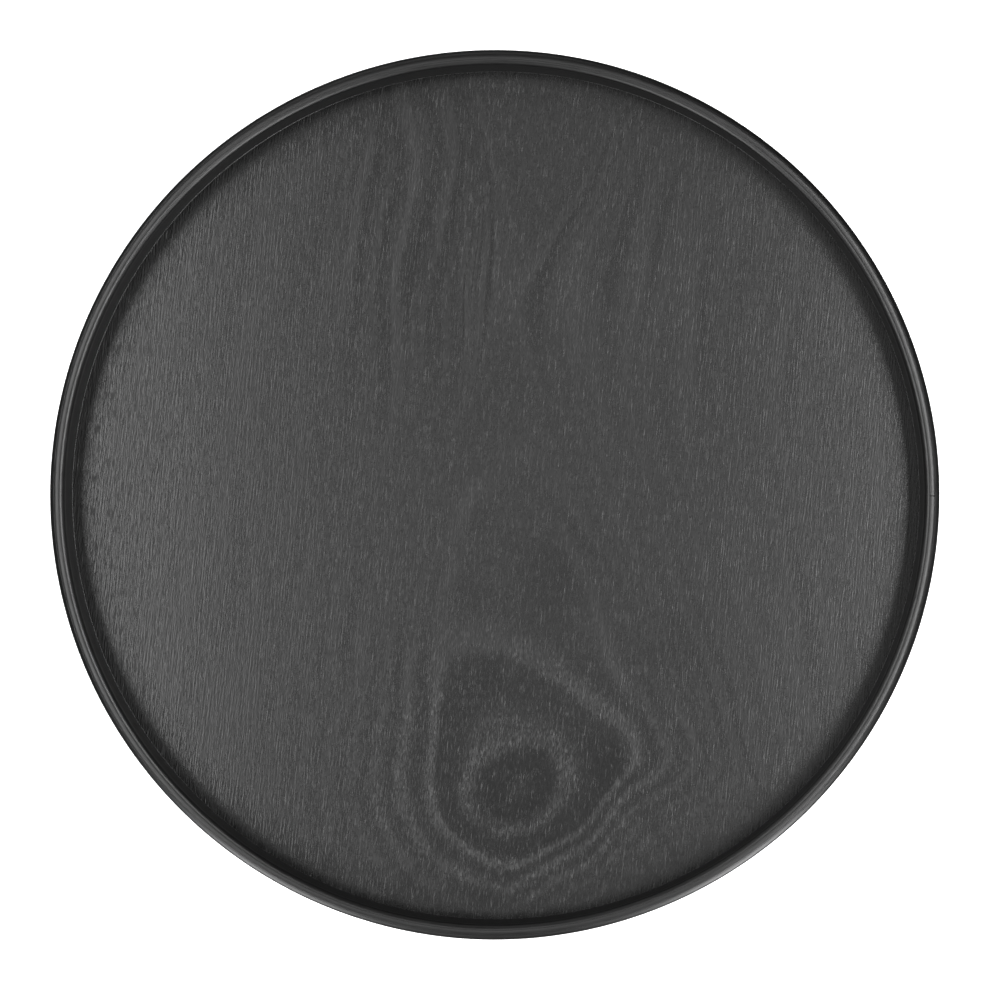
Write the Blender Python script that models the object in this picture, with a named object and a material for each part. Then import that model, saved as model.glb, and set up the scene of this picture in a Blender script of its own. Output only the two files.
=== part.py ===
"""Round serving tray: a veneered plywood floor panel held in the groove of a bent-wood hoop.

The panel's core plies are the tongue that fills the groove, and its veneers stop at the wall.

Metres, +Z up. The origin is the middle of the underside. +Y runs along the grain of the face
veneer, and the joints in the hoop's plies are on the +X side.
"""

import math

import bmesh
import bpy

# Driving dimensions of the whole tray.
OUTER_RADIUS = 0.165
HEIGHT = 0.022
HOOP_THICKNESS = 0.0058
WELL_DEPTH = 0.016
PANEL_THICKNESS = 0.004
GLUE_GAP = 0.0003

# The hoop's section: roundings of its four edges, and the groove that holds the panel's tongue.
INNER_TOP_ROUNDING = 0.0021
OUTER_TOP_ROUNDING = 0.0033
INNER_FOOT_ROUNDING = 0.0005
OUTER_FOOT_ROUNDING = 0.0012
GROOVE_DEPTH = 0.0010

# The panel's plies, from the bottom up.
VENEER_THICKNESS = 0.0005
PANEL_PLIES = ("back_veneer", "lower_crossband", "core_ply", "upper_crossband", "face_veneer")

# The hoop's plies, from the inside out: the angle of each joint from +X in degrees, and how far
# the cut leans along the ply from its inner to its outer face.
HOOP_PLIES = (
    ("hoop_inner_ply", -14.6, 0.012),
    ("hoop_middle_ply", -0.3, 0.0),
    ("hoop_outer_ply", 2.0, 0.009),
)
JOINT_GAP = 0.0003

# How finely the round shapes are cut.
TURN_STEPS = 128
TOP_ROUNDING_STEPS = 5
FOOT_ROUNDING_STEPS = 2
SHARP_ANGLE = math.radians(35.0)

# Values that follow from the ones above.
INNER_RADIUS = OUTER_RADIUS - HOOP_THICKNESS
CREST_RADIUS = INNER_RADIUS + INNER_TOP_ROUNDING
FLOOR_LEVEL = HEIGHT - WELL_DEPTH
PANEL_BOTTOM = FLOOR_LEVEL - PANEL_THICKNESS
TONGUE_RADIUS = INNER_RADIUS + GROOVE_DEPTH - GLUE_GAP
VENEER_RADIUS = INNER_RADIUS - GLUE_GAP
HOOP_PLY_THICKNESS = (HOOP_THICKNESS - (len(HOOP_PLIES) - 1) * GLUE_GAP) / len(HOOP_PLIES)


def clear_scene():
    for obj in list(bpy.data.objects):
        bpy.data.objects.remove(obj, do_unlink=True)


def stained_wood(name, grey, roughness):
    """A neutral black wood stain under a satin lacquer."""
    material = bpy.data.materials.new(name)
    material.use_nodes = True
    shader = material.node_tree.nodes["Principled BSDF"]
    shader.inputs["Base Color"].default_value = (grey, grey, grey, 1.0)
    shader.inputs["Roughness"].default_value = roughness
    shader.inputs["Metallic"].default_value = 0.0
    return material


def add_node(name, mesh, material, level, tray):
    """Puts a finished mesh in the scene as one named piece of the tray."""
    mesh.materials.append(material)
    mesh.shade_smooth()
    mesh.set_sharp_from_angle(angle=SHARP_ANGLE)
    piece = bpy.data.objects.new(name, mesh)
    piece.location = (0.0, 0.0, level)
    piece.parent = tray
    bpy.context.scene.collection.objects.link(piece)
    return piece


def arc(centre, radius, start, end, steps):
    """Points (radius, height) along an arc of the section, its angles in degrees from outwards."""
    points = []
    for step in range(steps + 1):
        angle = math.radians(start + (end - start) * step / steps)
        points.append(
            (centre[0] + radius * math.cos(angle), centre[1] + radius * math.sin(angle))
        )
    return points


def hoop_top():
    """The hoop's rounded top edge as one line, from its inner face to its outer face."""
    inner_centre = (CREST_RADIUS, HEIGHT - INNER_TOP_ROUNDING)
    outer_centre = (OUTER_RADIUS - OUTER_TOP_ROUNDING, HEIGHT - OUTER_TOP_ROUNDING)
    inner = arc(inner_centre, INNER_TOP_ROUNDING, 180.0, 90.0, TOP_ROUNDING_STEPS)
    outer = arc(outer_centre, OUTER_TOP_ROUNDING, 90.0, 0.0, 2 * TOP_ROUNDING_STEPS)
    return inner + outer


def hoop_foot():
    """The hoop's bottom edge as one line, from its inner face to its outer face."""
    inner_centre = (INNER_RADIUS + INNER_FOOT_ROUNDING, INNER_FOOT_ROUNDING)
    outer_centre = (OUTER_RADIUS - OUTER_FOOT_ROUNDING, OUTER_FOOT_ROUNDING)
    inner = arc(inner_centre, INNER_FOOT_ROUNDING, 180.0, 270.0, FOOT_ROUNDING_STEPS)
    outer = arc(outer_centre, OUTER_FOOT_ROUNDING, 270.0, 360.0, FOOT_ROUNDING_STEPS)
    return inner + outer


def height_on(line, radius):
    """The height of a line of (radius, height) points at the given radius."""
    for (near, low), (far, high) in zip(line, line[1:]):
        if near <= radius <= far:
            share = (radius - near) / (far - near)
            return low + (high - low) * share
    return line[-1][1]


def between(line, inner, outer):
    """The stretch of a line from one radius to another, with its two new ends."""
    inside = [point for point in line if inner < point[0] < outer]
    start = (inner, height_on(line, inner))
    end = (outer, height_on(line, outer))
    return [start, *inside, end]


def groove():
    """The tongue's groove in the hoop's inner face, from its top down, a gap wider each way."""
    top = FLOOR_LEVEL - VENEER_THICKNESS
    bottom = PANEL_BOTTOM + VENEER_THICKNESS
    floor = INNER_RADIUS + GROOVE_DEPTH
    return [(INNER_RADIUS, top), (floor, top), (floor, bottom), (INNER_RADIUS, bottom)]


def ply_section(index):
    """The outline of one of the hoop's plies, counted from the inside."""
    inner = INNER_RADIUS + index * (HOOP_PLY_THICKNESS + GLUE_GAP)
    outer = inner + HOOP_PLY_THICKNESS
    top = between(hoop_top(), inner, outer)
    foot = between(hoop_foot(), inner, outer)
    inside = groove() if index == 0 else []
    return foot + top[::-1] + inside


def bent_strip(name, section, joint_angle, lean):
    """A strip of the given section bent round into a hoop, its two ends a joint's gap apart."""
    inner = min(radius for radius, _ in section)
    outer = max(radius for radius, _ in section)
    open_angle = JOINT_GAP / inner
    form = bmesh.new()
    corners = [form.verts.new((radius, 0.0, height)) for radius, height in section]
    sides = [form.edges.new(pair) for pair in zip(corners, corners[1:] + corners[:1])]
    bmesh.ops.spin(
        form,
        geom=corners + sides,
        cent=(0.0, 0.0, 0.0),
        axis=(0.0, 0.0, 1.0),
        dvec=(0.0, 0.0, 0.0),
        angle=2.0 * math.pi - open_angle,
        steps=TURN_STEPS,
    )
    ends = [edge for edge in form.edges if edge.is_boundary]
    bmesh.ops.edgeloop_fill(form, edges=ends)
    for vert in form.verts:
        radius = math.hypot(vert.co.x, vert.co.y)
        share = (radius - inner) / (outer - inner) - 0.5
        angle = math.atan2(vert.co.y, vert.co.x)
        angle += math.radians(joint_angle) + open_angle / 2.0 + share * lean / inner
        vert.co.x = radius * math.cos(angle)
        vert.co.y = radius * math.sin(angle)
    bmesh.ops.recalc_face_normals(form, faces=form.faces)
    mesh = bpy.data.meshes.new(name)
    form.to_mesh(mesh)
    form.free()
    return mesh


def round_sheet(name, radius, thickness):
    """A round ply of the panel, standing on its own origin."""
    form = bmesh.new()
    made = bmesh.ops.create_cone(
        form,
        cap_ends=True,
        segments=TURN_STEPS,
        radius1=radius,
        radius2=radius,
        depth=thickness,
    )
    bmesh.ops.translate(form, verts=made["verts"], vec=(0.0, 0.0, thickness / 2.0))
    mesh = bpy.data.meshes.new(name)
    form.to_mesh(mesh)
    form.free()
    return mesh


def add_panel(tray):
    """The plywood floor: veneers outside, and plies of equal thickness between them."""
    inner_count = len(PANEL_PLIES) - 2
    gaps = (len(PANEL_PLIES) - 1) * GLUE_GAP
    ply_thickness = (PANEL_THICKNESS - 2.0 * VENEER_THICKNESS - gaps) / inner_count
    level = PANEL_BOTTOM
    for name in PANEL_PLIES:
        is_veneer = name.endswith("veneer")
        thickness = VENEER_THICKNESS if is_veneer else ply_thickness
        radius = VENEER_RADIUS if is_veneer else TONGUE_RADIUS
        material = stained_wood(name, grey=0.02 if is_veneer else 0.03, roughness=0.35)
        add_node(name, round_sheet(name, radius, thickness), material, level, tray)
        level += thickness + GLUE_GAP


def add_hoop(tray):
    """The rim: three plies bent round the panel, each with its own joint."""
    for index, (name, joint_angle, lean) in enumerate(HOOP_PLIES):
        mesh = bent_strip(name, ply_section(index), joint_angle, lean)
        material = stained_wood(name, grey=0.02, roughness=0.3)
        add_node(name, mesh, material, 0.0, tray)


def main():
    clear_scene()
    tray = bpy.data.objects.new("serving_tray", None)
    bpy.context.scene.collection.objects.link(tray)
    add_panel(tray)
    add_hoop(tray)


main()
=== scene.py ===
"""Looks of the round serving tray: black-stained veneer in a bent-wood hoop, under satin lacquer.

Metres, +Z up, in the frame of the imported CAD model. +Y runs along the grain of the face veneer.
"""
import math

import bmesh
import bpy
from mathutils import Matrix, Vector, noise


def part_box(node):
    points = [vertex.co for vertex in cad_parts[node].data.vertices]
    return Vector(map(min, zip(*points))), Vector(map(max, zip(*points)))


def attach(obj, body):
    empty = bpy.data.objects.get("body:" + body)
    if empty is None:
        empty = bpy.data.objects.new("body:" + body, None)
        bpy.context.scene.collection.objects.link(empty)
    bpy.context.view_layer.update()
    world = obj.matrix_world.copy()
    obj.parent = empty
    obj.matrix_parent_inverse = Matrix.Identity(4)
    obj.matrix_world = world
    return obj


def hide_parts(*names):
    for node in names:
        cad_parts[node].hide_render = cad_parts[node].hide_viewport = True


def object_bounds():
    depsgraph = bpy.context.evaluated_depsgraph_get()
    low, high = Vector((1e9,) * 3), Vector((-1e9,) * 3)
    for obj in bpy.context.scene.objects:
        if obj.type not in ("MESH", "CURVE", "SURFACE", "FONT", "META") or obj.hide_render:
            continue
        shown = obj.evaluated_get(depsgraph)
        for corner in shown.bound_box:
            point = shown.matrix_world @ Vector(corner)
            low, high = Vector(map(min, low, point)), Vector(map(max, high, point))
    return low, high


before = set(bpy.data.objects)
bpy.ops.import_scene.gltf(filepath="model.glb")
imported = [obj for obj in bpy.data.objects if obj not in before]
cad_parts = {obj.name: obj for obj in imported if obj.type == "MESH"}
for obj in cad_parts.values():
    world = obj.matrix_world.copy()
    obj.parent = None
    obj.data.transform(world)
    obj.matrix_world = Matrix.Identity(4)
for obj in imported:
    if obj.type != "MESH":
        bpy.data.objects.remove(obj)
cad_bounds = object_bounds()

MM = 0.001

# The hoop's section, as the CAD model rounds it.
INNER_TOP_ROUNDING = 2.1 * MM
OUTER_TOP_ROUNDING = 3.3 * MM
INNER_FOOT_ROUNDING = 0.5 * MM
OUTER_FOOT_ROUNDING = 1.2 * MM

# The hoop's plies: the CAD node, the strip that replaces it, the angle of its joint from +X in
# degrees, the lean of the cut, and how far the strip's two ends stand apart along the hoop.
HOOP_PLIES = (
    ("hoop_inner_ply", "hoop_inner_strip", -14.6, 12.0 * MM, 0.60 * MM),
    ("hoop_middle_ply", "hoop_middle_strip", -0.3, 0.0, 0.30 * MM),
    ("hoop_outer_ply", "hoop_outer_strip", 2.0, 9.0 * MM, 0.60 * MM),
)

# Glue lines: the CAD model's gap, the fine line left between the detailed strips, and how far the
# strips' corners are eased there.
CAD_GLUE_GAP = 0.3 * MM
GLUE_LINE = 0.02 * MM
ARRIS = 0.07 * MM

# Two radii nearer to each other than this belong to the same face of the hoop.
SAME_FACE = 0.5 * MM
# Corners of a section are at least this far apart across it, and a veneer stops this far from
# the wall.
LEAST_STEP = 0.02 * MM
WALL_CLEARANCE = 0.02 * MM

# The fillet of glue and lacquer in the corners, its sizes in millimetres: the plain size, what is
# added towards FILLET_SIDE, where most of it gathered, what slow and quick unevenness add or take
# away, each with its pace round the ring, and the least that is left.
FILLET_SIDE = Vector((-0.76, 0.65, 0.0))
FILLET_SIZE = 0.09
FILLET_GATHERED = 0.15
FILLET_GATHERING = 0.7
FILLET_SLOW, FILLET_SLOW_PACE = 0.05, 2.3
FILLET_QUICK, FILLET_QUICK_PACE, FILLET_QUICK_SEED = 0.04, 55.0, 5.0
FILLET_LEAST = 0.06

# How finely round shapes are cut.
HOOP_STEPS = 540
ARC_STEPS = 12
SHEET_STEPS = 360
SHEET_RINGS = 40
FILLET_STEPS = 1440
FILLET_ARC_STEPS = 5
SMOOTH_ANGLE = math.radians(32.0)

# The camera looks straight down from a little to the right of the tray's axis.
CAMERA_POINT = Vector((35.0, -14.0, 1026.0)) * MM
CAMERA_TARGET = Vector((1.08, -0.46, 22.0)) * MM
CAMERA_LENS = 98.84
CAMERA_SENSOR = 36.0

# The panel lights: azimuth and angle from straight up in degrees, distance and size in metres, and
# radiance. They face LIGHTS_AIM, a point just above the tray's foot.
LIGHTS_AIM = Vector((0, 0, 0.01))
LIGHTS = (
    ("overhead_panel", 0.0, 0.0, 1.5, (0.7, 1.0), 0.8),
    ("right_softbox", 0.0, 28.5, 1.68, (0.50, 1.5), 11.8),
    ("left_softbox", 180.0, 28.0, 1.7, (0.60, 1.5), 6.35),
    ("low_right_softbox", -57.0, 80.0, 1.5, (1.50, 0.50), 9.5),
    ("low_left_softbox", -122.0, 80.0, 1.5, (1.50, 0.50), 7.0),
    ("back_fill", 125.0, 72.0, 1.5, (0.6, 3.0), 0.9),
    ("front_fill", -75.0, 72.0, 1.5, (0.6, 3.0), 0.35),
    ("right_fill", 0.0, 72.0, 1.5, (0.5, 0.5), 0.9),
)
# The lights that draw the rim's highlights. They would only flare on the floor in a low view.
RIM_LIGHTS = ("low_right_softbox", "low_left_softbox")

# The surroundings: how bright the world is for the tray and for the camera, and the studio's
# floor, which glows a little so that it shows as plain white.
WORLD_LIGHT = 0.03
WORLD_BACKDROP = 1.0
STUDIO_FLOOR_RADIUS = 30.0
STUDIO_FLOOR_DROP = 0.2 * MM
STUDIO_FLOOR_GREY = 0.9
STUDIO_FLOOR_GLOW = 0.9


# ---------------------------------------------------------------- the frame

def radii(node):
    """The smallest and the largest radius of a CAD node's corners."""
    found = [math.hypot(v.co.x, v.co.y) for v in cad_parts[node].data.vertices]
    return min(found), max(found)


class Tray:
    """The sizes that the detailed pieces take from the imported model."""
    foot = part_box("hoop_outer_ply")[0].z
    height = cad_bounds[1][2]
    outer = cad_bounds[1][0]
    inner = radii("hoop_inner_ply")[0]
    crest_start = inner + INNER_TOP_ROUNDING
    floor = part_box("face_veneer")[1].z
    face_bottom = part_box("face_veneer")[0].z
    back_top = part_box("back_veneer")[1].z
    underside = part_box("back_veneer")[0].z
    tongue = radii("core_ply")[1]


# ---------------------------------------------------------------- material nodes

# The shader's own colour and roughness, for a program that can't follow the nodes.
PLAIN_GREY = 0.01
PLAIN_ROUGHNESS = 0.35


def grey_colour(grey):
    """A neutral colour with its alpha."""
    return grey, grey, grey, 1.0


class Graph:
    """Builds the nodes of one material from short expressions.

    A value is a number or another node's output.
    """

    def __init__(self, name):
        self.material = bpy.data.materials.new(name)
        self.material.use_nodes = True
        self.tree = self.material.node_tree
        self.shader = self.tree.nodes["Principled BSDF"]
        self.shader.inputs["Base Color"].default_value = grey_colour(PLAIN_GREY)
        self.shader.inputs["Roughness"].default_value = PLAIN_ROUGHNESS

    def feed(self, socket, value):
        """Links an output to a socket, or sets it to a number."""
        if isinstance(value, bpy.types.NodeSocket):
            self.tree.links.new(value, socket)
        else:
            socket.default_value = value

    def node(self, kind, inputs=None, **settings):
        """A new node, with its settings made and its inputs fed."""
        made = self.tree.nodes.new("ShaderNode" + kind)
        for name, value in settings.items():
            setattr(made, name, value)
        for key, value in (inputs or {}).items():
            self.feed(made.inputs[key], value)
        return made

    def math(self, operation, *values):
        """The result of one Math node."""
        return self.node("Math", dict(enumerate(values)), operation=operation).outputs[0]

    def add(self, *values):
        """The sum of all the values."""
        total = values[0]
        for value in values[1:]:
            total = self.math("ADD", total, value)
        return total

    def times(self, *values):
        """The product of all the values."""
        total = values[0]
        for value in values[1:]:
            total = self.math("MULTIPLY", total, value)
        return total

    def hypotenuse(self, x, y):
        """The length of a line that reaches x one way and y the other."""
        return self.math("SQRT", self.add(self.times(x, x), self.times(y, y)))

    def place(self):
        """The point on the piece, in millimetres."""
        here = self.node("TexCoord").outputs["Object"]
        return self.node("VectorMath", {0: here, "Scale": 1.0 / MM}, operation="SCALE").outputs[0]

    def split(self, vector):
        """The three parts of a vector."""
        return list(self.node("SeparateXYZ", {0: vector}).outputs)

    def join(self, x, y, z):
        """A vector from its three parts."""
        return self.node("CombineXYZ", {0: x, 1: y, 2: z}).outputs[0]

    def noise(self, point, detail, roughness=0.5, w=None):
        """Noise from 0 to 1 at a point, of four dimensions where w is given."""
        inputs = {"Vector": point, "Scale": 1.0, "Detail": detail, "Roughness": roughness}
        if w is None:
            return self.node("TexNoise", inputs).outputs["Fac"]
        inputs["W"] = w
        return self.node("TexNoise", inputs, noise_dimensions="4D").outputs["Fac"]

    def stretched_noise(self, x, y, cut, detail=0.0, roughness=0.5):
        """Noise of long grains: cut is its pace by x and by y per millimetre, and a seed."""
        x_pace, y_pace, seed = cut
        point = self.join(self.times(x, x_pace), self.times(y, y_pace), seed)
        return self.noise(point, detail, roughness)

    def step(self, value, low, high, to_low=0.0, to_high=1.0):
        """A smooth step from to_low to to_high while value goes from low to high."""
        inputs = {
            "Value": value,
            "From Min": low,
            "From Max": high,
            "To Min": to_low,
            "To Max": to_high,
        }
        return self.node("MapRange", inputs, interpolation_type="SMOOTHSTEP").outputs[0]

    def colour(self, red, green, blue):
        """A colour from its three parts."""
        return self.node("CombineColor", {0: red, 1: green, 2: blue}).outputs[0]

    def finish(self, grey, roughness, height, depth):
        """Drives the shader: height runs from 0 to 1 over depth metres."""
        self.feed(self.shader.inputs["Base Color"], self.colour(grey, grey, grey))
        self.feed(self.shader.inputs["Roughness"], roughness)
        relief = self.node("Bump", {"Height": height, "Distance": depth, "Strength": 1.0})
        self.feed(self.shader.inputs["Normal"], relief.outputs[0])
        return self.material


def bump(g, value, centre, width):
    """A bell curve, 1 where value is at centre."""
    off = g.times(g.add(value, -centre), 1.0 / width)
    return g.math("EXPONENT", g.times(off, off, -1.0))


def spot(g, x, y, centre, size):
    """A soft elliptical patch, 1 in its middle."""
    return g.times(bump(g, x, centre[0], size[0]), bump(g, y, centre[1], size[1]))


def centred(g, value, strength):
    """Turns noise round 0.5 into a signed amount round zero."""
    return g.times(g.add(value, -0.5), 2.0 * strength)


# ---------------------------------------------------------------- the veneer's figure

# Lengths are in millimetres on the tray. Tones run from -1 in the darkest rings to 1 in the
# lightest. A patch is the middle and the reach of a soft ellipse.

# The eye is a set of closed growth rings round EYE.
EYE = (7.5, -106.0)
# The eye's dark ring and the rings round it: for each side, the direction it faces in degrees, its
# distance from the eye, and how far apart the rings beyond it are.
EYE_SIDES = (
    (180.0, 27.0, 9.5),
    (48.0, 36.0, 16.0),
    (-51.0, 23.5, 6.6),
    (-96.0, 31.0, 8.0),
    (-137.0, 30.5, 8.5),
    (90.0, 42.0, 27.0),
    (165.0, 42.5, 9.5),
    (21.0, 46.0, 8.0),
)
# How sharply one side of the dark ring, and of the rings beyond it, turns into the next.
RING_TURN = 5.0
BEYOND_TURN = 2.2
RING_FRAY, BEYOND_FRAY = 0.05, 0.07

# The dark core, an ellipse a little below the middle of the eye: its half axes, and the cosine and
# sine of the long one's lean.
CORE_DROP = 2.5
CORE_HALF_AXES = (16.0, 11.0)
CORE_LEAN = (0.80, 0.60)
CORE_FRAY = 0.10
CORE_TONE = -1.1

# The light ring round the core, and the patch that widens it at its upper right.
LIGHT_RING, LIGHT_RING_WIDTH = 1.38, 0.22
LIGHT_PATCH = ((25.0, -90.0), (15.0, 17.0))
LIGHT_RING_TONE = 0.32

# The dark ring: its tone, and what its right-hand corner and its lower half add to it.
DARK_RING_TONE = -0.65
DARK_CORNER, DARK_CORNER_TONE = ((42.0, -100.0), (10.0, 9.0)), -0.5
LOWER_HALF, LOWER_HALF_TONE = (-80.0, -110.0), -0.2

# The rings beyond: their tone, how fast they fade outwards, how much lower they die out on the
# right, and how much of them is left above the eye.
BEYOND_TONE = 0.72
BEYOND_FADE = -0.40
BEYOND_DROP = 22.0
LEFT_ABOVE_EYE = 0.08

# Above the eye: a light crown, a dark hollow on each side of it, an eddy to the right, and the
# two light edges of a flame. An edge has its slope, place and width, and where its top and its
# foot fade in.
CROWN, CROWN_TONE = ((6.0, -50.0), (26.0, 9.0)), 0.12
RIGHT_HOLLOW, RIGHT_HOLLOW_TONE = ((22.0, -33.0), (13.0, 17.0)), -0.55
LEFT_HOLLOW, LEFT_HOLLOW_TONE = ((-9.0, -36.0), (6.0, 14.0)), -0.12
EDDY, EDDY_TONE, EDDY_FRAY = ((68.0, -58.0), (15.0, 14.0)), -0.25, 0.35
FLAME_EDGES = (
    (-0.27, -7.5, 3.2, (8.0, -6.0), (-62.0, -44.0)),
    (0.38, 21.0, 2.6, (-4.0, -16.0), (-98.0, -80.0)),
)
FLAME_TONE = 0.42

# The streaks follow a family of hyperbolas round an axis that drifts to the right as it rises.
# Their waist is the height at which they are closest; the slopes are those of the two sides.
STREAK_AXIS, STREAK_DRIFT = 4.0, 16.0
STREAK_WAIST = 72.0
STREAK_SLOPES = (0.36, 0.46)
STREAK_SOFTNESS = 30.0
STREAK_SHIFT = 60.0
STREAK_FRAY = 1.2
STREAK_TONE = 1.9
# How strong the streaks are: everywhere, more on two patches, less below the middle, and much less
# inside the hourglass.
STREAKS_EVERYWHERE = 0.30
STREAKS_LEFT, STREAKS_LEFT_MORE = ((-30.0, 95.0), (32.0, 48.0)), 1.3
STREAKS_RIGHT, STREAKS_RIGHT_MORE = ((46.0, 95.0), (44.0, 50.0)), 0.55
STREAKS_PLAIN, STREAKS_PLAIN_LESS = ((5.0, 25.0), (70.0, 28.0)), -0.22
STREAKS_INSIDE_LESS = -0.85
LEFT_PATCH_TONE = -0.15

# The cuts of the figure's noises: pace along x and along y per millimetre, and a seed.
FRAY_CUT, FRAY = (0.8, 0.10, 11.0), 1.6
DRIFT_X_CUT, DRIFT_Y_CUT, DRIFT = (0.035, 0.02, 5.0), (0.035, 0.02, 9.0), 5.5
STREAK_CUT = (0.15, 0.009, 3.0)
PLAIN_CUT, PLAIN_TONE = (0.10, 0.006, 21.0), 1.2


def eye_distances(g, x, y):
    """How far out of the eye a point is: 1 on its dark ring, and counted in rings beyond it."""
    right = g.add(x, -EYE[0])
    up = g.add(y, -EYE[1])
    powers, weights = [], []
    for angle, distance, spacing in EYE_SIDES:
        across = g.times(right, math.cos(math.radians(angle)))
        reach = g.add(across, g.times(up, math.sin(math.radians(angle))))
        share = g.math("MAXIMUM", g.times(reach, 1.0 / distance), 0.001)
        powers.append(g.math("POWER", share, RING_TURN))
        count = g.times(g.add(reach, -distance), BEYOND_TURN / spacing)
        weights.append(g.math("EXPONENT", count))
    closeness = g.math("POWER", g.add(*powers), 1.0 / RING_TURN)
    rings = g.times(g.math("LOGARITHM", g.add(*weights), math.e), 1.0 / BEYOND_TURN)
    return closeness, rings


def core_distance(g, x, y):
    """How far out of the eye's core a point is: 1 on the core's outline."""
    right = g.add(x, -EYE[0])
    up = g.add(y, -(EYE[1] - CORE_DROP))
    cosine, sine = CORE_LEAN
    along = g.add(g.times(right, cosine), g.times(up, sine))
    beside = g.add(g.times(up, cosine), g.times(right, -sine))
    long_axis, short_axis = CORE_HALF_AXES
    return g.math("SQRT", g.add(
        g.times(along, along, 1.0 / long_axis ** 2),
        g.times(beside, beside, 1.0 / short_axis ** 2),
    ))


def dark_ring_tone(g, x, y, closeness, core):
    """The dark ring, deepest in its right-hand corner and in its lower half."""
    ring = g.times(
        g.step(closeness, 0.50, 0.90), g.step(closeness, 1.20, 1.06), g.step(core, 1.3, 1.7)
    )
    corner = g.times(spot(g, x, y, *DARK_CORNER), DARK_CORNER_TONE)
    lower_half = g.times(g.step(y, *LOWER_HALF), LOWER_HALF_TONE)
    return g.times(ring, g.add(DARK_RING_TONE, corner, lower_half))


def rings_beyond_tone(g, x, y, rings):
    """The rings that follow the dark one outwards and fade, mostly below the eye's top."""
    waves = g.times(g.math("COSINE", g.times(rings, 2.0 * math.pi)), -1.0)
    fade = g.math("EXPONENT", g.times(g.math("MAXIMUM", rings, 0.0), BEYOND_FADE))
    height = g.add(y, g.step(x, 0.0, 30.0, 0.0, BEYOND_DROP))
    low = g.step(height, -25.0, -75.0, LEFT_ABOVE_EYE, 1.0)
    return g.times(waves, fade, g.step(rings, 0.15, 0.45), low, BEYOND_TONE)


def flame_edge(g, x, y, slope, place, width, top, foot):
    """A light line that leans across the grain and fades at its top and its foot."""
    line = bump(g, g.add(x, g.times(y, slope)), place, width)
    return g.times(line, g.step(y, *top), g.step(y, *foot))


def tones_above_eye(g, x, y, fray):
    """The crown, the hollows, the flame and the eddy."""
    crown = g.times(spot(g, x, y, *CROWN), CROWN_TONE)
    hollow = g.add(
        g.times(spot(g, x, y, *RIGHT_HOLLOW), RIGHT_HOLLOW_TONE),
        g.times(spot(g, x, y, *LEFT_HOLLOW), LEFT_HOLLOW_TONE),
    )
    edges = [flame_edge(g, x, y, *edge) for edge in FLAME_EDGES]
    flame = g.times(g.add(*edges), FLAME_TONE)
    eddy = g.times(spot(g, x, y, *EDDY), g.add(EDDY_TONE, g.times(fray, EDDY_FRAY)))
    return crown, hollow, flame, eddy


def eye_tone(g, x, y, fray):
    """Light and dark of the eye, of the rings round it and of what stands above it."""
    closeness, rings = eye_distances(g, x, y)
    closeness = g.add(closeness, g.times(fray, RING_FRAY))
    rings = g.add(rings, g.times(fray, BEYOND_FRAY))
    core = g.add(core_distance(g, x, y), g.times(fray, CORE_FRAY))
    dark_core = g.times(g.step(core, 1.15, 0.85), g.step(core, 0.0, 0.5, 0.1, 1.0), CORE_TONE)
    pale = g.math(
        "MAXIMUM", bump(g, core, LIGHT_RING, LIGHT_RING_WIDTH), spot(g, x, y, *LIGHT_PATCH)
    )
    inside_ring = g.step(closeness, 1.0, 0.75)
    light_ring = g.times(pale, g.step(core, 1.0, 1.3), inside_ring, LIGHT_RING_TONE)
    dark_ring = dark_ring_tone(g, x, y, closeness, core)
    beyond = rings_beyond_tone(g, x, y, rings)
    return g.add(dark_core, light_ring, dark_ring, beyond, *tones_above_eye(g, x, y, fray))


def streak_tone(g, x, y, fray):
    """Light and dark of the long streaks that open upwards like an hourglass."""
    axis = g.add(STREAK_AXIS, g.step(y, 40.0, 170.0, 0.0, STREAK_DRIFT))
    off = g.add(x, g.times(axis, -1.0))
    rise = g.times(g.add(y, -STREAK_WAIST), g.step(off, -5.0, 5.0, *STREAK_SLOPES))
    field = g.add(g.times(off, off), g.times(rise, rise, -1.0))
    root = g.math("SQRT", g.add(g.math("ABSOLUTE", field), STREAK_SOFTNESS))
    side = g.times(root, g.math("SIGN", field))
    # The left-hand side is moved along the noise, so that it doesn't mirror the right-hand one.
    other_side = g.times(g.step(off, -2.0, 2.0, STREAK_SHIFT, 0.0), g.step(field, 0.0, 250.0))
    lane = g.add(side, g.times(fray, STREAK_FRAY), other_side)
    streaks = centred(g, g.stretched_noise(lane, y, STREAK_CUT, detail=1.0), 1.0)
    left = spot(g, x, y, *STREAKS_LEFT)
    right = spot(g, x, y, *STREAKS_RIGHT)
    plain = spot(g, x, y, *STREAKS_PLAIN)
    amount = g.add(
        STREAKS_EVERYWHERE,
        g.times(left, STREAKS_LEFT_MORE),
        g.times(right, STREAKS_RIGHT_MORE),
        g.times(plain, STREAKS_PLAIN_LESS),
    )
    inside = g.times(g.step(field, 0.0, -300.0), g.step(y, 60.0, 90.0), STREAKS_INSIDE_LESS)
    tone = g.times(streaks, amount, g.add(1.0, inside), STREAK_TONE)
    return g.add(tone, g.times(left, LEFT_PATCH_TONE))


def veneer_figure(g, x, y):
    """The face veneer's tone, with its outlines frayed along the grain and drifting a little."""
    fray = centred(g, g.stretched_noise(x, y, FRAY_CUT, detail=1.0, roughness=0.6), FRAY)
    x_off = g.add(x, centred(g, g.stretched_noise(x, y, DRIFT_X_CUT), DRIFT))
    y_off = g.add(y, centred(g, g.stretched_noise(x, y, DRIFT_Y_CUT), DRIFT))
    return g.add(eye_tone(g, x_off, y_off, fray), streak_tone(g, x_off, y_off, fray))


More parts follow.
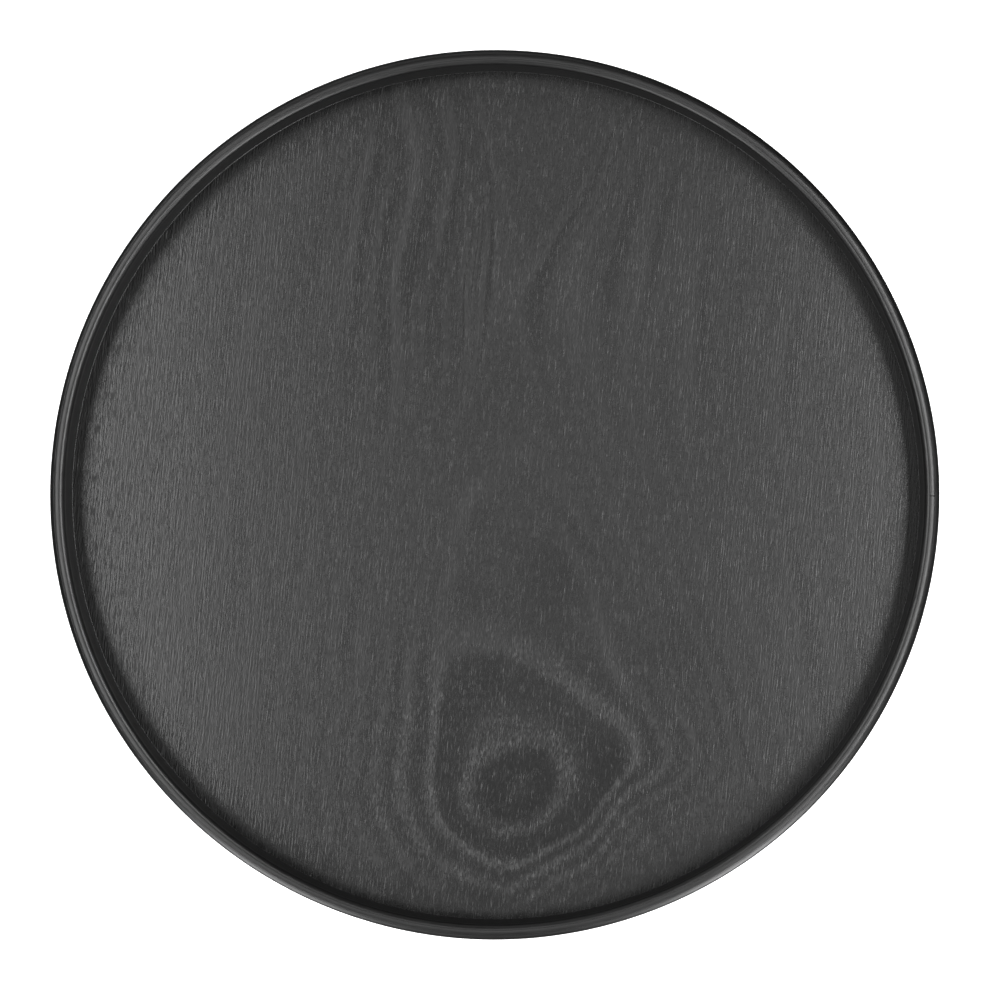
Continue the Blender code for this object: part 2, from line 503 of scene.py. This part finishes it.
def plain_figure(g, x, y):
    """The back veneer's tone: straight-grained, with slow bands only."""
    return centred(g, g.stretched_noise(x, y, PLAIN_CUT, detail=2.0), PLAIN_TONE)


# ---------------------------------------------------------------- materials

# The veneer's grain leans a little from +Y. Its noises have a pace across and a pace along the
# grain per millimetre, and a seed. Vessels and pores are the noise's peaks between two levels.
GRAIN_LEAN = math.radians(6.0)
FIBRE_CUT = (3.4, 0.50, 2.0)
LINE_CUT = (1.8, 0.11, 17.0)
SPECK_CUT = (3.4, 0.90, 31.0)
VESSEL_CUT, VESSEL_PEAKS = (2.6, 0.48, 7.0), (0.50, 0.66)
PORE_CUT, PORE_PEAKS = (2.0, 0.16, 13.0), (0.62, 0.73)

# A painted shade darkens the veneer close to the wall, where the wall hides the side lights: from
# one radius to the other in millimetres, and by the first tone on the right and the second one on
# the left, where the painted shade is deepest.
PAINTED_WALL_SHADE = (143.0, 155.0)
PAINTED_WALL_SHADE_TONES = (-0.4, -1.4)
# Round the eye the veneer is darker and shinier, and its vessels are paler.
EYE_PATCH = ((9.0, -108.0), (56.0, 46.0))
# Between these distances left or right of the middle, pores turn rougher and vessels fainter.
SIDE_STRIPS = (95.0, 150.0)

# The stain: how light it is, how much the tone, the specks and the lines change that, and the
# least share that is left in the darkest tone.
STAIN_GREY = 0.0073
TONE_CONTRAST = 0.8
SPECK_CONTRAST, LINE_CONTRAST = 0.9, 0.35
LEAST_STAIN = 0.1
EYE_DARKER = -0.52
# The vessel lines: how light they are everywhere, and what the eye, a light tone, a light tone in
# the eye and the nearness of the wall change.
VESSEL_GREY, VESSEL_GREY_IN_EYE = 0.0014, 0.0015
VESSEL_GREY_LIGHT, VESSEL_GREY_LIGHT_IN_EYE = 0.010, 0.018
VESSEL_SHARE_BY_WALL = -0.5

# The lacquer's roughness, and what the tone, the eye, specks, vessels and pores add to it.
SATIN_ROUGHNESS = 0.284
TONE_ROUGHNESS = 0.040
EYE_SHINIER = -0.036
SPECK_ROUGHNESS = 0.030
VESSEL_ROUGHNESS, VESSEL_ROUGHNESS_IN_EYE, VESSEL_ROUGHNESS_LIGHT_IN_EYE = 0.02, 0.03, 0.07
PORE_ROUGHNESS, PORE_ROUGHNESS_BY_WALL = 0.06, 0.26

# The veneer's relief: the shares of fibres, lines and pores in it, what the eye's light rings and
# the nearness of the wall add, and how deep it is from left to right.
VENEER_RELIEF = 0.040 * MM
FIBRE_SHARE, FIBRE_SHARE_IN_EYE = 0.8, 0.85
LINE_SHARE, LINE_SHARE_BY_WALL = 1.20, -0.10
PORE_SHARE = -0.2
DEEPER_BY_LEFT_WALL = 0.50
DEPTH_FROM_LEFT_TO_RIGHT = (1.14, 0.87)

# The hoop's noises: pace round the hoop, pace upwards and outwards per millimetre, and detail.
HOOP_FIBRE = (38.0, 1.9, 1.0)
HOOP_MOTTLE = (9.0, 0.5, 1.0)
HOOP_PORE, HOOP_PORE_PEAKS = (48.0, 2.4, 0.0), (0.68, 0.80)
HOOP_BAND = (4.0, 0.50, 2.0)
# Where the outer face and the rounded crest begin and are reached, in millimetres.
OUTER_FACE_RADII, OUTER_FACE_HEIGHTS = (163.8, 164.8), (18.5, 16.5)
CREST_HEIGHTS = (17.0, 20.5)
# Below the crest the hoop is rougher, and darker: a painted shade on its walls. Its outer face is
# greyer, with bands.
HOOP_GREY, HOOP_FIBRE_GREY, HOOP_PORE_GREY = 0.0025, 0.004, -0.002
BELOW_CREST_PAINTED_SHADE = 0.45
OUTER_GREY, BAND_GREY = 0.004, 0.007
HOOP_ROUGHNESS = (0.50, 0.34)
HOOP_FIBRE_ROUGHNESS, MOTTLE_ROUGHNESS, BAND_ROUGHNESS = 0.06, 0.05, 0.20
HOOP_PORE_SHARE = -0.8
HOOP_RELIEF = 0.022 * MM

LACQUER_GREY, LACQUER_PATCH_GREY = 0.006, 0.010
LACQUER_ROUGHNESS = (0.20, 0.34)
LACQUER_RELIEF = 0.02 * MM

RAW_WOOD = (0.52, 0.38, 0.24)
RAW_WOOD_SHADES = (0.75, 1.1)
RAW_WOOD_ROUGHNESS = (0.6, 0.75)


def grain_axes(g, x, y):
    """How far a point is across and along the veneer's grain."""
    across = g.add(g.times(x, math.cos(GRAIN_LEAN)), g.times(y, -math.sin(GRAIN_LEAN)))
    along = g.add(g.times(x, math.sin(GRAIN_LEAN)), g.times(y, math.cos(GRAIN_LEAN)))
    return across, along


def painted_wall_shade(g, x, y):
    """Painted shade on the veneer along the wall, where the wall hides the side lights."""
    edge = g.step(g.hypotenuse(x, y), *PAINTED_WALL_SHADE)
    return g.times(edge, g.step(x, 20.0, -120.0, *PAINTED_WALL_SHADE_TONES))


def veneer_grey(g, tone, pale, speck, line, vessel, near_eye, near_wall):
    """How light the stain is: grain everywhere, and pale vessel lines where the tone is light."""
    grain = g.math(
        "EXPONENT", g.add(centred(g, speck, SPECK_CONTRAST), centred(g, line, LINE_CONTRAST))
    )
    shade = g.times(STAIN_GREY, g.add(1.0, g.times(near_eye, EYE_DARKER)))
    stain = g.math("MAXIMUM", g.add(1.0, g.times(tone, TONE_CONTRAST)), LEAST_STAIN)
    light = g.add(VESSEL_GREY_LIGHT, g.times(near_eye, VESSEL_GREY_LIGHT_IN_EYE))
    strength = g.add(VESSEL_GREY, g.times(near_eye, VESSEL_GREY_IN_EYE), g.times(pale, light))
    by_wall = g.add(1.0, g.times(near_wall, VESSEL_SHARE_BY_WALL))
    vessel_lines = g.times(vessel, strength, by_wall)
    return g.add(g.times(shade, stain, grain), vessel_lines)


def veneer_roughness(g, tone, pale, speck, vessel, pore, near_eye, near_wall):
    """How rough the lacquer is: rougher over vessels and pores, shinier in the eye."""
    light = g.add(VESSEL_ROUGHNESS_IN_EYE, g.times(pale, VESSEL_ROUGHNESS_LIGHT_IN_EYE))
    over_vessels = g.times(vessel, g.add(VESSEL_ROUGHNESS, g.times(near_eye, light)))
    by_wall = g.add(PORE_ROUGHNESS, g.times(near_wall, PORE_ROUGHNESS_BY_WALL))
    over_pores = g.times(pore, by_wall)
    return g.add(
        SATIN_ROUGHNESS,
        g.times(tone, TONE_ROUGHNESS),
        g.times(near_eye, EYE_SHINIER),
        centred(g, speck, SPECK_ROUGHNESS),
        g.add(over_vessels, over_pores),
    )


def veneer_height(g, x, fibre, line, pore, rich, near_wall):
    """The relief of fibres, lines and pores: deepest by the left wall, shallowest on the right."""
    relief = g.add(
        g.times(fibre, g.add(FIBRE_SHARE, g.times(rich, FIBRE_SHARE_IN_EYE))),
        g.times(line, g.add(LINE_SHARE, g.times(near_wall, LINE_SHARE_BY_WALL))),
        g.times(pore, PORE_SHARE),
    )
    by_left_wall = g.step(x, -125.0, -95.0, DEEPER_BY_LEFT_WALL, 0.0)
    depth = g.add(by_left_wall, g.step(x, -60.0, 140.0, *DEPTH_FROM_LEFT_TO_RIGHT))
    return g.times(relief, depth)


def veneer_material(name, figured):
    """Black-stained open-pored veneer: figure, fibres, pale vessel lines and fine pores."""
    g = Graph(name)
    x, y, _ = g.split(g.place())
    across, along = grain_axes(g, x, y)
    figure = veneer_figure(g, x, y) if figured else plain_figure(g, x, y)
    # The figure's tone, darkened along the wall by painted shade.
    tone = g.add(figure, painted_wall_shade(g, x, y))
    pale = g.step(tone, -0.4, 1.0)
    fibre = g.stretched_noise(across, along, FIBRE_CUT)
    line = g.stretched_noise(across, along, LINE_CUT)
    speck = g.stretched_noise(across, along, SPECK_CUT)
    vessel = g.step(g.stretched_noise(across, along, VESSEL_CUT), *VESSEL_PEAKS)
    pore = g.step(g.stretched_noise(across, along, PORE_CUT), *PORE_PEAKS)
    near_eye = spot(g, x, y, *EYE_PATCH) if figured else 0.0
    # The fibres stand out most in the eye's light rings.
    rich = g.times(g.step(near_eye, 0.10, 0.60), g.add(0.15, pale)) if figured else 0.0
    near_wall = g.step(g.math("ABSOLUTE", x), *SIDE_STRIPS)
    grey = veneer_grey(g, tone, pale, speck, line, vessel, near_eye, near_wall)
    rough = veneer_roughness(g, tone, pale, speck, vessel, pore, near_eye, near_wall)
    height = veneer_height(g, x, fibre, line, pore, rich, near_wall)
    return g.finish(grey, rough, height, VENEER_RELIEF)


def hoop_material(name):
    """Black-stained bent wood: fibres and pores that run round the hoop, smoothest on the rim, and
    darkened below it by painted shade.
    """
    g = Graph(name)
    x, y, z = g.split(g.place())
    radius = g.hypotenuse(x, y)
    east = g.math("DIVIDE", x, radius)
    north = g.math("DIVIDE", y, radius)

    def round_noise(turn, fine, detail):
        """Noise by direction, height and radius: turn is its pace round the hoop."""
        spot_on_hoop = g.join(g.times(east, turn), g.times(north, turn), g.times(z, fine))
        return g.noise(spot_on_hoop, detail, w=g.times(radius, fine))

    fibre = round_noise(*HOOP_FIBRE)
    mottle = round_noise(*HOOP_MOTTLE)
    pore = g.step(round_noise(*HOOP_PORE), *HOOP_PORE_PEAKS)
    band = centred(g, round_noise(*HOOP_BAND), 1.0)
    outside = g.times(g.step(radius, *OUTER_FACE_RADII), g.step(z, *OUTER_FACE_HEIGHTS))
    wood = g.add(HOOP_GREY, g.times(fibre, HOOP_FIBRE_GREY), g.times(pore, HOOP_PORE_GREY))
    # Below the crest the colour is darkened as painted shade on the walls.
    grey = g.times(wood, g.step(z, *CREST_HEIGHTS, BELOW_CREST_PAINTED_SHADE, 1.0))
    grey = g.add(grey, g.times(outside, g.add(OUTER_GREY, g.times(band, BAND_GREY))))
    rough = g.add(
        g.step(z, *CREST_HEIGHTS, *HOOP_ROUGHNESS),
        g.times(fibre, HOOP_FIBRE_ROUGHNESS),
        centred(g, mottle, MOTTLE_ROUGHNESS),
        g.times(outside, band, BAND_ROUGHNESS),
    )
    # The relief is twice as deep on the outer face.
    twice_outside = g.add(1.0, g.times(outside, 1.0))
    height = g.times(g.add(fibre, g.times(pore, HOOP_PORE_SHARE)), twice_outside)
    return g.finish(grey, rough, height, HOOP_RELIEF)


def fillet_material(name):
    """The lacquer that gathers in the corners: smoother than the wood round it."""
    g = Graph(name)
    patches = g.noise(g.place(), detail=1.0)
    grey = g.add(LACQUER_GREY, g.times(patches, LACQUER_PATCH_GREY))
    rough = g.step(patches, 0.3, 0.7, *LACQUER_ROUGHNESS)
    return g.finish(grey, rough, patches, LACQUER_RELIEF)


def plywood_material(name, turned):
    """Raw pale wood for the hidden plies. A crossband's grain is turned to run along x."""
    g = Graph(name)
    x, y, z = g.split(g.place())
    across, along = (y, x) if turned else (x, y)
    fibre = g.noise(g.join(g.times(across, 0.9), g.times(along, 0.06), z), detail=4.0)
    shade = g.step(fibre, 0.3, 0.7, *RAW_WOOD_SHADES)
    g.feed(g.shader.inputs["Base Color"], g.colour(*[g.times(shade, part) for part in RAW_WOOD]))
    g.feed(g.shader.inputs["Roughness"], g.step(fibre, 0.2, 0.8, *RAW_WOOD_ROUGHNESS))
    return g.material


# ---------------------------------------------------------------- shapes

def add_piece(name, form, material, slot, *nodes):
    """Puts a finished form in the scene as one detailed piece that replaces CAD nodes."""
    bmesh.ops.recalc_face_normals(form, faces=form.faces)
    mesh = bpy.data.meshes.new(name)
    form.to_mesh(mesh)
    form.free()
    mesh.materials.append(material)
    mesh.shade_smooth()
    mesh.set_sharp_from_angle(angle=SMOOTH_ANGLE)
    piece = bpy.data.objects.new(name, mesh)
    bpy.context.scene.collection.objects.link(piece)
    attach(piece, "root")
    if nodes:
        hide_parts(*nodes)
    return piece


def corner(form, radius, turn, height):
    """A new corner of a form, at an angle round the tray's axis."""
    return form.verts.new((radius * math.cos(turn), radius * math.sin(turn), height))


def join_rings(form, rings):
    """Faces from each ring of a swept section to the next one."""
    count = len(rings[0])
    for near, far in zip(rings, rings[1:]):
        for i in range(count):
            j = (i + 1) % count
            form.faces.new((near[i], near[j], far[j], far[i]))


def arc(centre, radius, start, end, steps=ARC_STEPS):
    """Points (radius, height) on an arc of a section, its angles in degrees from outwards."""
    points = []
    for step in range(steps + 1):
        angle = math.radians(start + (end - start) * step / steps)
        points.append((centre[0] + radius * math.cos(angle), centre[1] + radius * math.sin(angle)))
    return points


def hoop_top():
    """The hoop's rounded top edge as one line, from its inner face to its outer face."""
    inner_centre = (Tray.crest_start, Tray.height - INNER_TOP_ROUNDING)
    outer_centre = (Tray.outer - OUTER_TOP_ROUNDING, Tray.height - OUTER_TOP_ROUNDING)
    inner = arc(inner_centre, INNER_TOP_ROUNDING, 180.0, 90.0)
    outer = arc(outer_centre, OUTER_TOP_ROUNDING, 90.0, 0.0, 2 * ARC_STEPS)
    return inner + outer


def hoop_foot():
    """The hoop's bottom edge as one line, from its inner face to its outer face."""
    inner_centre = (Tray.inner + INNER_FOOT_ROUNDING, INNER_FOOT_ROUNDING)
    outer_centre = (Tray.outer - OUTER_FOOT_ROUNDING, OUTER_FOOT_ROUNDING)
    inner = arc(inner_centre, INNER_FOOT_ROUNDING, 180.0, 270.0)
    outer = arc(outer_centre, OUTER_FOOT_ROUNDING, 270.0, 360.0)
    return inner + outer


def height_on(line, radius):
    """The height of a line of (radius, height) points at the given radius."""
    for (near, low), (far, high) in zip(line, line[1:]):
        if near <= radius <= far:
            return low + (high - low) * (radius - near) / (far - near)
    return line[-1][1]


def strip_edge(line, inner, outer, inward):
    """The part of the hoop's top or foot between two radii, its glued corners eased by an arris."""
    points = []
    if inner > Tray.inner:
        points.append((inner, height_on(line, inner) + inward * ARRIS))
        points.append((inner + ARRIS, height_on(line, inner + ARRIS)))
    else:
        points.append(line[0])
    low, high = points[-1][0], outer - ARRIS
    points += [p for p in line if low + LEAST_STEP < p[0] < high - LEAST_STEP]
    if outer < Tray.outer:
        points.append((outer - ARRIS, height_on(line, outer - ARRIS)))
        points.append((outer, height_on(line, outer) + inward * ARRIS))
    else:
        points += [p for p in line if p[0] >= high - LEAST_STEP]
    return points


def groove():
    """The groove in the hoop's inner face that holds the panel's tongue, from its top down."""
    depth = Tray.tongue + CAD_GLUE_GAP
    return [
        (Tray.inner, Tray.face_bottom),
        (depth, Tray.face_bottom),
        (depth, Tray.back_top),
        (Tray.inner, Tray.back_top),
    ]


def strip_radii(node):
    """The radii of a strip's faces: the CAD model's, grown at each glue line to its fine width."""
    inner, outer = radii(node)
    if inner >= Tray.inner + SAME_FACE:
        inner = inner - CAD_GLUE_GAP / 2 + GLUE_LINE / 2
    if outer > Tray.outer - SAME_FACE:
        outer = Tray.outer
    else:
        outer = outer + CAD_GLUE_GAP / 2 - GLUE_LINE / 2
    return inner, outer


def hoop_strip(node, name, joint_angle, lean, crack, material):
    """One ply of the hoop, bent round until its two ends meet."""
    inner, outer = strip_radii(node)
    top = strip_edge(hoop_top(), inner, outer, -1.0)
    foot = strip_edge(hoop_foot(), inner, outer, 1.0)
    section = foot + top[::-1] + (groove() if inner <= Tray.inner else [])
    open_angle = crack / inner
    form = bmesh.new()
    rings = []
    for step in range(HOOP_STEPS + 1):
        share = step / HOOP_STEPS
        turn = math.radians(joint_angle) + open_angle / 2 + (2 * math.pi - open_angle) * share
        ring = []
        for radius, height in section:
            slant = ((radius - inner) / (outer - inner) - 0.5) * lean / inner
            ring.append(corner(form, radius, turn + slant, height))
        rings.append(ring)
    join_rings(form, rings)
    form.faces.new(rings[0])
    form.faces.new(rings[-1][::-1])
    return add_piece(name, form, material, "bent_hoop", node)


def sheet_layer(form, level):
    """The corners of one face of a round sheet: its middle, and rings out to the wall."""
    edge = Tray.inner - WALL_CLEARANCE
    middle = form.verts.new((0.0, 0.0, level))
    rings = []
    for ring in range(1, SHEET_RINGS + 1):
        radius = edge * ring / SHEET_RINGS
        rings.append([
            corner(form, radius, 2 * math.pi * step / SHEET_STEPS, level)
            for step in range(SHEET_STEPS)
        ])
    return middle, rings


def veneer_sheet(name, node, low, high, material, slot):
    """A round sheet that reaches the hoop's wall."""
    form = bmesh.new()
    layers = [sheet_layer(form, low), sheet_layer(form, high)]
    for middle, rings in layers:
        for step in range(SHEET_STEPS):
            after = (step + 1) % SHEET_STEPS
            form.faces.new((middle, rings[0][step], rings[0][after]))
            for near, far in zip(rings, rings[1:]):
                form.faces.new((near[step], far[step], far[after], near[after]))
    (_, lower), (_, upper) = layers
    for step in range(SHEET_STEPS):
        after = (step + 1) % SHEET_STEPS
        form.faces.new((lower[-1][step], lower[-1][after], upper[-1][after], upper[-1][step]))
    return add_piece(name, form, material, slot, node)


def fillet_size(outwards, seed):
    """The fillet's size in the direction outwards from the tray's axis."""
    slow = noise.noise(outwards * FILLET_SLOW_PACE + Vector((0, 0, seed)))
    quick = noise.noise(outwards * FILLET_QUICK_PACE + Vector((0, 0, FILLET_QUICK_SEED)))
    gathered = max(0.0, outwards.dot(FILLET_SIDE)) ** FILLET_GATHERING
    size = FILLET_SIZE + FILLET_GATHERED * gathered + FILLET_SLOW * slow + FILLET_QUICK * quick
    return max(FILLET_LEAST, size) * MM


def fillet_ring(name, level, up, material, slot):
    """The thin, uneven fillet of glue and lacquer in the corner between the wall and a veneer."""
    form = bmesh.new()
    rings = []
    for step in range(FILLET_STEPS):
        turn = 2 * math.pi * step / FILLET_STEPS
        size = fillet_size(Vector((math.cos(turn), math.sin(turn), 0.0)), level / MM)
        ring = []
        for k in range(FILLET_ARC_STEPS + 1):
            angle = math.pi / 2 * k / FILLET_ARC_STEPS
            radius = Tray.inner - size * (1 - math.sin(angle))
            height = level + up * size * (1 - math.cos(angle))
            ring.append(corner(form, radius, turn, height))
        ring.append(corner(form, Tray.inner, turn, level))
        rings.append(ring)
    join_rings(form, rings + rings[:1])
    return add_piece(name, form, material, slot)


# ---------------------------------------------------------------- the studio

def add_camera():
    """The camera, turned so that its right-hand side is the tray's +X side."""
    data = bpy.data.cameras.new("camera")
    data.lens = CAMERA_LENS
    data.sensor_width = CAMERA_SENSOR
    camera = bpy.data.objects.new("camera", data)
    back = (CAMERA_POINT - CAMERA_TARGET).normalized()
    right = Vector((0.0, 1.0, 0.0)).cross(back).normalized()
    up = back.cross(right)
    turn = Matrix((right, up, back)).transposed()
    camera.matrix_world = Matrix.Translation(CAMERA_POINT) @ turn.to_4x4()
    bpy.context.scene.collection.objects.link(camera)
    bpy.context.scene.camera = camera


def add_softbox(name, azimuth, polar, distance, size, radiance):
    """A square-edged panel light that faces the tray."""
    data = bpy.data.lights.new(name, "AREA")
    data.shape = "RECTANGLE"
    data.size, data.size_y = size
    data.energy = radiance * math.pi * size[0] * size[1]
    light = bpy.data.objects.new(name, data)
    a, p = math.radians(azimuth), math.radians(polar)
    towards = Vector((math.sin(p) * math.cos(a), math.sin(p) * math.sin(a), math.cos(p)))
    light.location = LIGHTS_AIM + towards * distance
    # The panel's own y axis lies level, across the direction to the tray.
    level = Vector((-math.sin(a), math.cos(a), 0.0))
    side = level.cross(towards).normalized()
    turn = Matrix((side, level, towards)).transposed()
    light.matrix_world = Matrix.Translation(light.location) @ turn.to_4x4()
    light.visible_camera = False
    bpy.context.scene.collection.objects.link(light)
    return light


def keep_off(lights, piece):
    """Keeps lights off a piece, so that they don't flare on it in a low view."""
    spared = bpy.data.collections.new("spared_" + piece.name)
    spared.objects.link(piece)
    spared.collection_objects[0].light_linking.link_state = "EXCLUDE"
    for light in lights:
        light.light_linking.receiver_collection = spared


def add_world():
    """Surroundings that are nearly dark for the tray and white for the camera."""
    world = bpy.data.worlds.new("studio")
    bpy.context.scene.world = world
    world.use_nodes = True
    nodes, links = world.node_tree.nodes, world.node_tree.links
    background = nodes["Background"]
    path = nodes.new("ShaderNodeLightPath")
    mix = nodes.new("ShaderNodeMix")
    mix.data_type = "RGBA"
    mix.inputs["A"].default_value = grey_colour(WORLD_LIGHT)
    mix.inputs["B"].default_value = grey_colour(WORLD_BACKDROP)
    links.new(path.outputs["Is Camera Ray"], mix.inputs["Factor"])
    links.new(mix.outputs["Result"], background.inputs["Color"])


def add_floor():
    """The studio's plain white floor, just below the tray's foot."""
    form = bmesh.new()
    bmesh.ops.create_circle(form, cap_ends=True, segments=96, radius=STUDIO_FLOOR_RADIUS)
    mesh = bpy.data.meshes.new("studio_floor")
    form.to_mesh(mesh)
    form.free()
    material = bpy.data.materials.new("studio_floor")
    material.use_nodes = True
    shader = material.node_tree.nodes["Principled BSDF"]
    shader.inputs["Base Color"].default_value = grey_colour(STUDIO_FLOOR_GREY)
    shader.inputs["Roughness"].default_value = 1.0
    shader.inputs["Specular IOR Level"].default_value = 0.0
    shader.inputs["Emission Color"].default_value = grey_colour(1.0)
    shader.inputs["Emission Strength"].default_value = STUDIO_FLOOR_GLOW
    mesh.materials.append(material)
    floor = bpy.data.objects.new("studio_floor", mesh)
    floor.location.z = Tray.foot - STUDIO_FLOOR_DROP
    floor.visible_glossy = False
    floor.visible_shadow = False
    bpy.context.scene.collection.objects.link(floor)


def add_studio():
    """The camera, the lights, the surroundings and the floor; gives back the rim's lights."""
    bpy.context.scene.view_settings.view_transform = "Standard"
    add_camera()
    lights = [add_softbox(*light) for light in LIGHTS]
    add_world()
    add_floor()
    return [light for light in lights if light.name in RIM_LIGHTS]


# ---------------------------------------------------------------- build

def add_tray(rim_lights):
    """The detailed pieces of the tray, and the hidden plies' material."""
    veneer = veneer_material("stained_face_veneer", figured=True)
    back = veneer_material("stained_back_veneer", figured=False)
    hoop = hoop_material("stained_bent_wood")
    for ply in HOOP_PLIES:
        hoop_strip(*ply, hoop)
    face = veneer_sheet(
        "face_veneer_sheet", "face_veneer", Tray.face_bottom, Tray.floor, veneer, "floor_veneer"
    )
    keep_off(rim_lights, face)
    veneer_sheet(
        "back_veneer_sheet", "back_veneer", Tray.underside, Tray.back_top, back, "back_veneer"
    )
    lacquer = fillet_material("gathered_lacquer")
    fillet_ring("floor_corner_fillet", Tray.floor, 1.0, lacquer, "bent_hoop")
    fillet_ring("underside_corner_fillet", Tray.underside, -1.0, lacquer, "bent_hoop")
    for node, turned in (("upper_crossband", True), ("core_ply", False), ("lower_crossband", True)):
        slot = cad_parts[node].material_slots[0]
        slot.material = plywood_material("pale_" + node, turned)


add_tray(add_studio())
